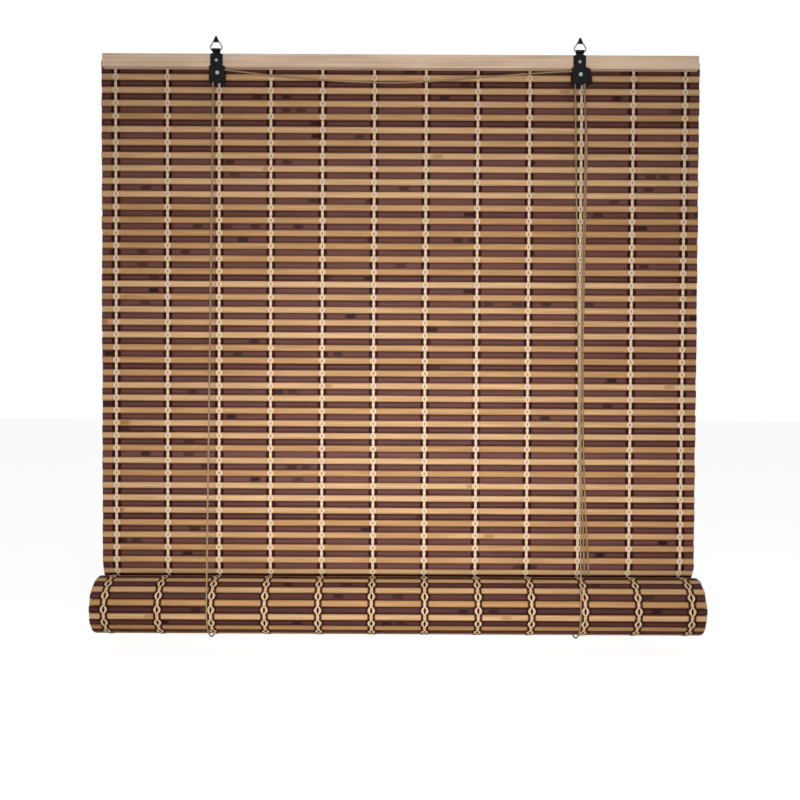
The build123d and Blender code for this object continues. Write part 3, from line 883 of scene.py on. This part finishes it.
@dataclass
class Mat:
    """The slats, hanging and rolled."""

    path: MatPath
    finishes: Finishes
    lift: Lift
    length: float = 0.800
    edge: float = 0.00035
    edge_segments: int = 2
    smooth_below: float = math.radians(50)
    stations: int = 18
    seam: float = 0.00001
    wander: float = 0.000015
    waves: Span = (1.5, 4.0)
    uneven_ends: Span = (-0.0008, 0.0002)
    seed: int = 11

    def pattern(self, stations: int) -> Piece:
        """A plain slat, with rounded long edges and stations along it.

        Args:
            stations: How many cuts its long edges have.

        Returns:
            The slat, at the origin.
        """
        deselect()
        bpy.ops.mesh.primitive_cube_add(size=1.0)
        slat = bpy.context.object
        slat.scale = (self.length, self.path.slat_thickness, self.path.slat_height)
        settle(slat)
        bevel = {"offset": self.edge, "segments": self.edge_segments, "affect": "EDGES"}
        edit_edges(slat, runs_lengthwise, bpy.ops.mesh.bevel, **bevel)
        edit_edges(slat, runs_lengthwise, bpy.ops.mesh.subdivide, number_cuts=stations)
        bpy.ops.object.shade_smooth_by_angle(angle=self.smooth_below)
        half = self.path.slat_height / 2
        set_attribute(slat, "across", [v.co.z / half for v in slat.data.vertices])
        return slat

    def slat(self, pattern: Piece, place: Place, step: float, draw: random.Random) -> Piece:
        """One slat at its place, a little uneven, with a tone of its own.

        Args:
            pattern: The slat to copy.
            place: Where it goes.
            step: How far the next slat lies from it.
            draw: Where its unevenness comes from.

        Returns:
            The slat.
        """
        taller = (step - self.seam) / self.path.slat_height
        slat = placed_copy(pattern, "slat", Matrix.Scale(taller, 4, (0, 0, 1)))
        phase, waves = draw.uniform(0, 2 * math.pi), draw.uniform(*self.waves)
        ends = [draw.uniform(*self.uneven_ends) for _ in range(2)]
        for point in slat.data.vertices:
            share = point.co.x / self.length
            point.co.z += self.wander * math.sin(phase + 2 * math.pi * waves * share)
            point.co.x += 2 * share * ends[0 if share < 0 else 1]
        slat.data.transform(place.matrix(0.0))
        set_attribute(slat, "tone", [draw.random()] * len(slat.data.vertices))
        return slat

    def make_set(self, tone: Tone, stretch: Stretch, draw: random.Random) -> Piece:
        """Every second slat of one stretch of the mat, as one piece in its finish.

        Args:
            tone: Which of the slats to make.
            stretch: Which stretch of the mat they are in.
            draw: Where their unevenness comes from.

        Returns:
            The piece.
        """
        slot = f"{tone.name.lower()}_bamboo"
        rolled = stretch is Stretch.ROLLED
        pattern = self.pattern(self.stations // 2 if rolled else self.stations)
        slats = [
            self.slat(pattern, place, self.path.step(number, stretch), draw)
            for number, place in self.path.stretch(stretch)
            if number % 2 == tone.value
        ]
        discard(pattern)
        piece = joined(slats, f"{tone.name.lower()}_slats_{stretch.value}")
        self.finishes.dress(piece, slot, f"{slot}_rolled" if rolled else slot)
        return piece

    def make(self) -> None:
        """Makes the straight slats, the ones that bend back over the roll and the rolled ones."""
        draw = random.Random(self.seed)
        for stretch in Stretch:
            for tone in Tone:
                piece = self.make_set(tone, stretch, draw)
                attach(piece, BODIES[stretch])
                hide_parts("mat_roll" if stretch is Stretch.ROLLED else f"{tone.name.lower()}_slats")
                if stretch is Stretch.STRAIGHT:
                    self.lift.shorten(piece, self.path.held_z, self.path.bend_top)
                LOG.info("%s", piece.name)


@dataclass(frozen=True)
class Loop:
    """A chain stitch's loop that lies flat on a slat, with a slit in its middle and its ends drawn together.

    It reaches past the slat's edges by its overlap, and is narrower towards its ends by its taper.
    """

    overlap: float
    taper: float
    slit: float
    slit_share: float
    width: float = 0.0102
    segments: int = 18
    sides: int = 6


@dataclass
class Stitches:
    """The chain stitched warps: an open loop over every second slat and a single strand over the others."""

    path: MatPath
    finishes: Finishes
    lift: Lift
    count: int = 12
    reach: float = 0.3808
    flat_loop: Loop = Loop(overlap=0.0004, taper=0.20, slit=0.0010, slit_share=0.36)
    wound_loop: Loop = Loop(overlap=0.0024, taper=0.55, slit=0.0026, slit_share=0.62)
    strand: float = 0.0040
    strand_overlap: float = 0.0004
    strand_taper: float = 0.25
    strand_sides: int = 8
    strand_cuts: int = 3

    def loop_pattern(self, loop: Loop) -> Piece:
        """A loop at the origin, shaped from a ring whose hole has half its middle line's radius.

        Args:
            loop: The loop's sizes.

        Returns:
            The loop.
        """
        half_width, half_height = loop.width / 2, self.path.slat_height / 2 + loop.overlap
        slit_width, slit_height = loop.slit / 2, loop.slit_share * half_height
        hole = 0.5
        deselect()
        bpy.ops.mesh.primitive_torus_add(
            major_segments=loop.segments, minor_segments=loop.sides, major_radius=1.0, minor_radius=1 - hole,
            rotation=(math.pi / 2, 0, 0),
        )
        ring = bpy.context.object
        settle(ring)
        for point in ring.data.vertices:
            turn = math.atan2(point.co.z, point.co.x)
            out = math.hypot(point.co.x, point.co.z) - hole
            z = math.sin(turn) * (slit_height + out * (half_height - slit_height))
            x = math.cos(turn) * (slit_width + out * (half_width - slit_width))
            point.co = (x * (1 - loop.taper * (z / half_height) ** 2), point.co.y * self.path.thread, z)
        bpy.ops.object.shade_smooth()
        return ring

    def strand_pattern(self) -> Piece:
        """A short strand that crosses a slat, pinched where it meets the loops.

        Returns:
            The strand, at the origin.
        """
        deselect()
        bpy.ops.mesh.primitive_cylinder_add(vertices=self.strand_sides, radius=0.5, depth=1.0)
        strand = bpy.context.object
        strand.scale = (self.strand, self.path.thread, self.path.slat_height + 2 * self.strand_overlap)
        settle(strand)
        self.cut(strand)
        half = self.path.slat_height / 2 + self.strand_overlap
        for point in strand.data.vertices:
            point.co.x *= 1 - self.strand_taper * (point.co.z / half) ** 2
        bpy.ops.object.shade_smooth()
        return strand

    def cut(self, strand: Piece) -> None:
        """Cuts a strand's upright edges, so that it can be pinched."""
        least = self.strand_overlap
        edit_edges(
            strand, lambda edge: abs(edge.verts[0].co.z - edge.verts[1].co.z) > least,
            bpy.ops.mesh.subdivide, number_cuts=self.strand_cuts,
        )

    def along(self, places: list[tuple[int, Place]], side: Face, patterns: Patterns) -> list[Piece]:
        """One thread's stitches at x 0: loops over light slats before the mat, and over dark ones behind it.

        Args:
            places: The slats that it crosses, with their numbers.
            side: The side of the mat that it lies on.
            patterns: The loop and the strand to copy.

        Returns:
            The stitches.
        """
        out = side.value * (self.path.slat_thickness + self.path.thread) / 2
        looped = Tone.LIGHT if side is Face.FRONT else Tone.DARK
        return [
            placed_copy(patterns[number % 2 != looped.value], "stitch", place.matrix(0.0, out))
            for number, place in places
        ]

    def make_warps(self, stretch: Stretch, lines: list[float], patterns: Patterns) -> None:
        """Makes the warps over one stretch of the hanging mat, each as a piece of its own.

        Args:
            stretch: The stretch that they cross.
            lines: Where they stand along the blind.
            patterns: The loop and the strand to copy.
        """
        places = self.path.stretch(stretch)
        stitches = [stitch for side in Face for stitch in self.along(places, side, patterns)]
        warp = joined(stitches, "warp_pattern")
        for number, x in enumerate(lines, start=1):
            node = f"warp_{number:02d}"
            piece = placed_copy(warp, f"{node}_stitches_{stretch.value}", Matrix.Translation((x, 0, 0)))
            self.finishes.dress(piece, "thread")
            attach(piece, BODIES[stretch])
            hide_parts(node)
            if stretch is Stretch.STRAIGHT:
                self.lift.shorten(piece, self.path.held_z, self.path.bend_top)
        discard(warp)

    def make_wound(self, lines: list[float], patterns: Patterns) -> None:
        """Makes every warp over the roll's outer turn, as one piece.

        Args:
            lines: Where they stand along the blind.
            patterns: The loop and the strand to copy.
        """
        turn = joined(self.along(list(enumerate(self.path.outer)), Face.BACK, patterns), "turn_pattern")
        turns = [placed_copy(turn, "turn", Matrix.Translation((x, 0, 0))) for x in lines]
        piece = joined(turns, "rolled_stitches")
        self.finishes.dress(piece, "thread", "thread_rolled")
        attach(piece, "roll")
        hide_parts("roll_warps")
        discard(turn)

    def make(self) -> None:
        """Makes the warps over the straight mat, over its bend and over the roll."""
        strand = self.strand_pattern()
        flat, wound = self.loop_pattern(self.flat_loop), self.loop_pattern(self.wound_loop)
        spacing = 2 * self.reach / (self.count - 1)
        lines = [spacing * i - self.reach for i in range(self.count)]
        for stretch in (Stretch.STRAIGHT, Stretch.BENT):
            self.make_warps(stretch, lines, (flat, strand))
        self.make_wound(lines, (wound, strand))
        for pattern in (flat, wound, strand):
            discard(pattern)
        LOG.info("%d warps", self.count)


@dataclass(frozen=True)
class Route:
    """A cord's route, and how it hangs."""

    node: str
    body: str
    points: list[Point]
    lay: str
    goes_with: tuple[str, ...] = ()
    held_z: float | None = None


@dataclass
class Cords:
    """The lift cords, the cross cord and the pull cords."""

    path: MatPath
    finishes: Finishes
    lift: Lift
    diameter: float = 0.002
    sides: int = 10
    left_axle: float = -0.2405
    right_axle: float = 0.2365
    axle_z: float = -0.0287
    on_wheel: float = 0.00605
    front_y: float = -0.0107
    rear_y: float = -0.0081
    left_x: float = -0.24655
    right_x: float = 0.2355
    loop_play: float = 0.00045
    stitch_room: float = 0.0015
    guide_z: float = -0.047
    swing_z: float = -0.650
    anchor_y: float = 0.00905
    anchor_z: float = -0.0048
    knot_z: float = -0.0046
    knot_y: float = 0.00725
    knot: float = 0.0044
    knot_points: int = 48
    knot_span: float = 6.0
    turn_points: int = 9
    line_order: int = 3
    line_steps: int = 8

    def __post_init__(self) -> None:
        """Works out the loop round the roll."""
        self.loop_radius = self.path.wrap + self.stitch_room + self.diameter / 2 + self.loop_play

    def tangent(self, y: float, z: float, side: int) -> float:
        """The turn at which a line from a point touches the loop's circle."""
        across, up = side * (y - self.path.roll_y), z - self.path.roll_z
        return math.atan2(up, across) - math.acos(self.loop_radius / math.hypot(across, up))

    def on_loop(self, x: float, turn: float, radius: float) -> Point:
        """A point round the roll's axis, at a turn up from its front."""
        return (x, self.path.roll_y - radius * math.cos(turn), self.path.roll_z + radius * math.sin(turn))

    def arc(
        self, make: Callable[[float, float], Point], start: float, end: float, radius: float
    ) -> list[Point]:
        """Control points that keep a smooth line on an arc.

        Args:
            make: Gives the point at a turn and radius.
            start: The arc's first turn.
            end: Its last turn.
            radius: Its radius.

        Returns:
            Its ends, and between them the corners of runs that touch the arc.
        """
        step = (end - start) / self.turn_points
        outer = radius / math.cos(step / 2)
        corners = [make(start + (i + 0.5) * step, outer) for i in range(self.turn_points)]
        return [make(start, radius), *corners, make(end, radius)]

    def lift_routes(self, side: str, start_x: float, loop_x: float, y: float) -> list[Route]:
        """One lift cord's front run from its pulley at start_x, loop at loop_x and back run.

        Args:
            side: The side of the blind, left or right.
            start_x: Where the cord leaves its pulley.
            loop_x: Where it stands along the blind.
            y: The depth of its groove.

        Returns:
            The three routes.
        """
        front = self.tangent(y, self.guide_z, -1)
        back = self.tangent(self.anchor_y, self.anchor_z, 1)
        front_end = self.on_loop(loop_x, front, self.loop_radius)
        back_end = self.on_loop(loop_x, math.pi - back, self.loop_radius)
        share = (self.swing_z - self.guide_z) / (front_end[2] - self.guide_z)
        swing = (loop_x, y + share * (front_end[1] - y), self.swing_z)
        run = [(start_x, y, self.axle_z), (start_x, y, self.guide_z), swing, front_end]
        top = (loop_x, self.anchor_y, self.knot_z)
        middle = tuple((a + b) / 2 for a, b in zip(back_end, top))
        loop = self.arc(
            lambda turn, radius: self.on_loop(loop_x, turn, radius), front, -math.pi - back, self.loop_radius
        )
        with_top = ("lift_cord_right_top",) if side == "right" else ()
        with_knot = (f"cord_knot_{side}",)
        return [
            Route(f"lift_cord_{side}_front", "rail", run, "taut", with_top, self.axle_z),
            Route(f"lift_cord_{side}_loop", "cord_loops", loop, "taut"),
            Route(f"lift_cord_{side}_back", "rail", [back_end, middle, top], "taut", with_knot, self.knot_z),
        ]

    def cross_route(self) -> Route:
        """The left lift cord's run over its pulley, across the blind and over the other pulley.

        Returns:
            The route.
        """
        sag = [
            (-0.1724, -0.0306), (-0.1370, -0.0339), (-0.1027, -0.0365), (-0.0680, -0.0383),
            (-0.0342, -0.0394), (0.0013, -0.0396), (0.0355, -0.0379), (0.0700, -0.0352),
            (0.1040, -0.0319), (0.1360, -0.0295), (0.1672, -0.0270),
        ]
        first, last = sag[0], sag[-1]
        off = self.leaving(self.left_axle, first, 1)
        on = math.pi - self.leaving(self.right_axle, last, -1)
        left = self.over_pulley(self.left_axle, self.front_y, math.pi, off)
        right = self.over_pulley(self.right_axle, self.front_y, on, 0.0)
        span = [(x, self.front_y, z) for x, z in sag]
        return Route("cross_cord", "rail", [*left, *span, *right], "hanging")

    def leaving(self, axle: float, point: tuple[float, float], side: int) -> float:
        """The turn at which a line to a point leaves a pulley."""
        across, up = side * (point[0] - axle), point[1] - self.axle_z
        return math.atan2(up, across) + math.acos(self.on_wheel / math.hypot(across, up))

    def over_pulley(self, axle: float, y: float, start: float, end: float) -> list[Point]:
        """Control points round a pulley's axle from one turn to another, in the groove at y.

        Args:
            axle: The axle's place along the blind.
            y: The depth of the groove.
            start: The first turn.
            end: The last turn.

        Returns:
            The points.
        """
        def on_wheel(turn: float, radius: float) -> Point:
            """A point round the axle."""
            return (axle + radius * math.cos(turn), y, self.axle_z + radius * math.sin(turn))

        return self.arc(on_wheel, start, end, self.on_wheel)

    def pull_routes(self) -> list[Route]:
        """The two pull cords, down the mat's front into the nip above the roll.

        Returns:
            The two routes.
        """
        start_x = self.right_axle + self.on_wheel
        first = [
            (0.2426, -0.0107, -0.0620), (0.2454, -0.0089, -0.1000), (0.2450, -0.0044, -0.1500),
            (0.2453, -0.0009, -0.2050), (0.2444, 0.0016, -0.2620), (0.2448, 0.0029, -0.3220),
            (0.2442, 0.0034, -0.3820), (0.2449, 0.0037, -0.4380), (0.2444, 0.0038, -0.4920),
            (0.2456, 0.0038, -0.5450), (0.2479, 0.0038, -0.5970), (0.2496, 0.0038, -0.6450),
            (0.2509, 0.0038, -0.6720), (0.2520, 0.0060, -0.6942),
        ]
        second = [
            (0.2426, -0.0081, -0.0620), (0.2474, -0.0064, -0.1050), (0.2475, -0.0022, -0.1550),
            (0.2479, 0.0007, -0.2100), (0.2468, 0.0024, -0.2660), (0.2473, 0.0033, -0.3240),
            (0.2466, 0.0037, -0.3840), (0.2472, 0.0038, -0.4400), (0.2475, 0.0038, -0.4940),
            (0.2494, 0.0038, -0.5470), (0.2518, 0.0038, -0.5990), (0.2544, 0.0038, -0.6470),
            (0.2562, 0.0038, -0.6720), (0.2576, 0.0060, -0.6942),
        ]
        cords = (("pull_cord_a", self.front_y, first), ("pull_cord_b", self.rear_y, second))
        return [
            Route(node, "rail", [(start_x, y, self.axle_z), *points], "hanging", held_z=self.axle_z)
            for node, y, points in cords
        ]

    def line(self, points: list[Point]) -> list[Vector]:
        """Points read from the smooth spline that a route gives.

        Args:
            points: The route's control points.

        Returns:
            The points along the spline.
        """
        curve = bpy.data.curves.new("route", "CURVE")
        curve.dimensions = "3D"
        spline = curve.splines.new("NURBS")
        spline.points.add(len(points) - 1)
        for holder, point in zip(spline.points, points):
            holder.co = (*point, 1.0)
        spline.order_u = self.line_order
        spline.use_endpoint_u = True
        curve.resolution_u = self.line_steps
        carrier = linked("route", curve)
        bpy.context.view_layer.update()
        settled = carrier.evaluated_get(bpy.context.evaluated_depsgraph_get())
        mesh = bpy.data.meshes.new_from_object(settled)
        found = [vertex.co.copy() for vertex in mesh.vertices]
        bpy.data.meshes.remove(mesh)
        discard(carrier)
        return found

    def tube(self, name: str, line: list[Vector]) -> Piece:
        """A round cord along a line, with its UV map in metres along it and turns round it.

        Args:
            name: The cord's name.
            line: Its middle line.

        Returns:
            The cord.
        """
        shape = bmesh.new()
        flat = shape.loops.layers.uv.new("UVMap")
        heading = (line[1] - line[0]).normalized()
        side = heading.orthogonal().normalized()
        turns = [2 * math.pi * k / self.sides for k in range(self.sides)]
        rings, run, runs = [], 0.0, []
        for i, middle in enumerate(line):
            ahead = (line[min(i + 1, len(line) - 1)] - line[max(i - 1, 0)]).normalized()
            side = (side - ahead * side.dot(ahead)).normalized()
            up = ahead.cross(side)
            run += (middle - line[i - 1]).length if i else 0.0
            runs.append(run)
            spokes = [side * math.cos(turn) + up * math.sin(turn) for turn in turns]
            rings.append([shape.verts.new(middle + spoke * self.diameter / 2) for spoke in spokes])
        for i, (near, far) in enumerate(zip(rings, rings[1:])):
            for k in range(self.sides):
                after = (k + 1) % self.sides
                face = shape.faces.new((near[k], near[after], far[after], far[k]))
                face.smooth = True
                spots = [(runs[i], k), (runs[i], k + 1), (runs[i + 1], k + 1), (runs[i + 1], k)]
                for corner, (u, v) in zip(face.loops, spots):
                    corner[flat].uv = (u, v / self.sides)
        shape.faces.new(rings[0][::-1])
        shape.faces.new(rings[-1])
        mesh = bpy.data.meshes.new(name)
        shape.to_mesh(mesh)
        shape.free()
        return linked(name, mesh)

    def braided(self, name: str, node: str, body: str, line: list[Vector]) -> Piece:
        """Cord along a line, which stands for a node or a part of it and moves with a body.

        Args:
            name: The cord's name.
            node: The node that it stands for.
            body: The body that it moves with.
            line: Its middle line.

        Returns:
            The cord.
        """
        piece = self.tube(f"{name}_braid", line)
        self.finishes.dress(piece, "cord")
        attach(piece, body)
        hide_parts(node)
        return piece

    def knot_line(self, x: float) -> list[Vector]:
        """The line of the overhand knot that sits on a staple.

        Args:
            x: The staple's place along the blind.

        Returns:
            The points along the line.
        """
        middle = Vector((x, self.knot_y, self.knot_z + self.knot / 2))
        size = (self.knot - self.diameter) / self.knot_span
        turns = [2 * math.pi * i / self.knot_points for i in range(self.knot_points + 1)]
        return [
            middle + size * Vector((
                math.sin(t) + 2 * math.sin(2 * t), math.cos(t) - 2 * math.cos(2 * t), -math.sin(3 * t)
            ))
            for t in turns
        ]

    def lay_out(self, route: Route, short: dict[str, Piece]) -> None:
        """Args:
            route: The cord's route.
            short: The short pieces of cord that belong to a longer one, by name.
        """
        line = self.line(route.points)
        piece = self.braided(route.node, route.node, route.body, line)
        length = sum((b - a).length for a, b in zip(line, line[1:]))
        if route.held_z is not None:
            self.lift.shorten(piece, route.held_z, min(point.z for point in line))
        tuple(line[0])
        [tuple(point) for point in line]
        [short[name] for name in route.goes_with]
        LOG.info("%s, %.3f m", piece.name, length)

    def make(self) -> None:
        """Makes every cord."""
        turn = self.line(self.over_pulley(self.right_axle, self.rear_y, math.pi, 0.0))
        name = "lift_cord_right_top"
        short = {name: self.braided(name, name, "rail", turn)}
        for side, x in (("left", self.left_x), ("right", self.right_x)):
            name = f"cord_knot_{side}"
            short[name] = self.braided(name, "cord_knots", "rail", self.knot_line(x))
        routes = self.lift_routes("left", self.left_axle - self.on_wheel, self.left_x, self.front_y)
        routes += self.lift_routes("right", self.right_axle - self.on_wheel, self.right_x, self.rear_y)
        for route in [*routes, self.cross_route(), *self.pull_routes()]:
            self.lay_out(route, short)


@dataclass
class Hardware:
    """The solids that keep their shape: rails, hangers, pulleys, screws and staples."""

    finishes: Finishes

    def make(self, nodes: dict[str, Piece], record: dict) -> None:
        """Dresses every node that no piece stands for, from its slot in the record.

        Args:
            nodes: The solids by their node's name.
            record: The object's record.
        """
        for part in record["subparts"]:
            node = nodes[part["node"]]
            if not node.hide_render:
                self.finishes.dress(node, part["material_slot"])
                LOG.info("%s in %s", node.name, part["material_slot"])


@dataclass(frozen=True)
class Lamp:
    """A soft square lamp, with its side, its power in watts and its grid's angle in degrees."""

    name: str
    place: Point
    aim: Point
    size: float
    power: float
    spread: float = 180.0

    def make(self) -> None:
        """Hangs the lamp, turned to its aim."""
        data = bpy.data.lights.new(self.name, "AREA")
        data.size, data.energy, data.spread = self.size, self.power, math.radians(self.spread)
        lamp = linked(self.name, data)
        lamp.location = self.place
        lamp.rotation_euler = (Vector(self.aim) - Vector(self.place)).to_track_quat("-Z", "Y").to_euler()


@dataclass
class Studio:
    """The camera, the floor and the light."""

    camera_place: Point = (0.0013, -1.0721, -0.4357)
    pitch: float = math.radians(1.16)
    roll: float = math.radians(0.27)
    lens: float = 36.0
    sensor: float = 36.0
    floor_z: float = -0.800
    floor_size: float = 14.0
    floor_tone: float = 0.9
    floor_glow: float = 0.75
    world_light: float = 0.22
    lamps: tuple[Lamp, ...] = (
        Lamp(
            "front_lamp", place=(-0.02, -1.14, -0.55), aim=(0.01, 0.0, -0.53), size=0.45, power=3.6,
            spread=85.0,
        ),
        Lamp("top_lamp", place=(0.5, -0.9, 1.1), aim=(0.0, 0.0, -0.3), size=1.0, power=3.0),
    )

    def make_camera(self) -> None:
        """The camera, level with the blind's lower middle and turned slightly down."""
        data = bpy.data.cameras.new("camera")
        data.lens, data.sensor_width = self.lens, self.sensor
        camera = linked("camera", data)
        turn = Matrix.Rotation(math.pi / 2 - self.pitch, 4, "X") @ Matrix.Rotation(self.roll, 4, "Z")
        camera.matrix_world = Matrix.Translation(self.camera_place) @ turn
        bpy.context.scene.camera = camera

    def make_floor(self) -> None:
        """A pale floor under the blind, which keeps its shadow."""
        deselect()
        bpy.ops.mesh.primitive_plane_add(size=self.floor_size, location=(0, 0, self.floor_z))
        floor = bpy.context.object
        floor.name = "floor"
        material = bpy.data.materials.new("pale_floor")
        material.use_nodes = True
        nodes = Nodes(material.node_tree)
        matte = nodes.add("ShaderNodeBsdfDiffuse", Color=opaque((self.floor_tone,) * 3)).outputs[0]
        white = nodes.add("ShaderNodeEmission", Color=(1, 1, 1, 1), Strength=self.floor_glow).outputs[0]
        seen = nodes.add("ShaderNodeLightPath").outputs["Is Camera Ray"]
        nothing = nodes.add("ShaderNodeEmission", Color=(0, 0, 0, 1), Strength=0.0).outputs[0]
        glow = nodes.add("ShaderNodeMixShader", _0=seen, _1=nothing, _2=white).outputs[0]
        both = nodes.add("ShaderNodeAddShader", _0=matte, _1=glow).outputs[0]
        nodes.add("ShaderNodeOutputMaterial", Surface=both)
        floor.data.materials.append(material)

    def make_world(self) -> None:
        """Even soft light, and white where the camera and glossy surfaces look past the blind."""
        world = bpy.data.worlds.new("studio")
        world.use_nodes = True
        bpy.context.scene.world = world
        nodes = Nodes(world.node_tree)
        path = nodes.add("ShaderNodeLightPath")
        direct = nodes.math("MAXIMUM", path.outputs["Is Camera Ray"], path.outputs["Is Glossy Ray"])
        direct = nodes.math("MAXIMUM", direct, path.outputs["Is Transmission Ray"])
        strength = nodes.ramp(direct, (0.0, 1.0), (self.world_light, 1.0))
        light = nodes.add("ShaderNodeBackground", Color=(1, 1, 1, 1), Strength=strength).outputs[0]
        nodes.add("ShaderNodeOutputWorld", Surface=light)

    def make(self) -> None:
        """Makes the floor, the light and the picture's plain view."""
        self.make_floor()
        self.make_world()
        for lamp in self.lamps:
            lamp.make()
        bpy.context.scene.view_settings.view_transform = "Standard"


def main() -> None:
    """Builds the blind's looks around its frame."""
    logging.basicConfig(level=logging.INFO, format="%(message)s")
    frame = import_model()
    studio, finishes, path, lift = Studio(), Finishes(), MatPath(), Lift()
    studio.make_camera()
    finishes.make()
    Cords(path, finishes, lift).make()
    Mat(path, finishes, lift).make()
    Stitches(path, finishes, lift).make()
    Hardware(finishes).make(frame["nodes"], frame["record"])
    studio.make()
    deselect()


if __name__ == "__main__":
    main()
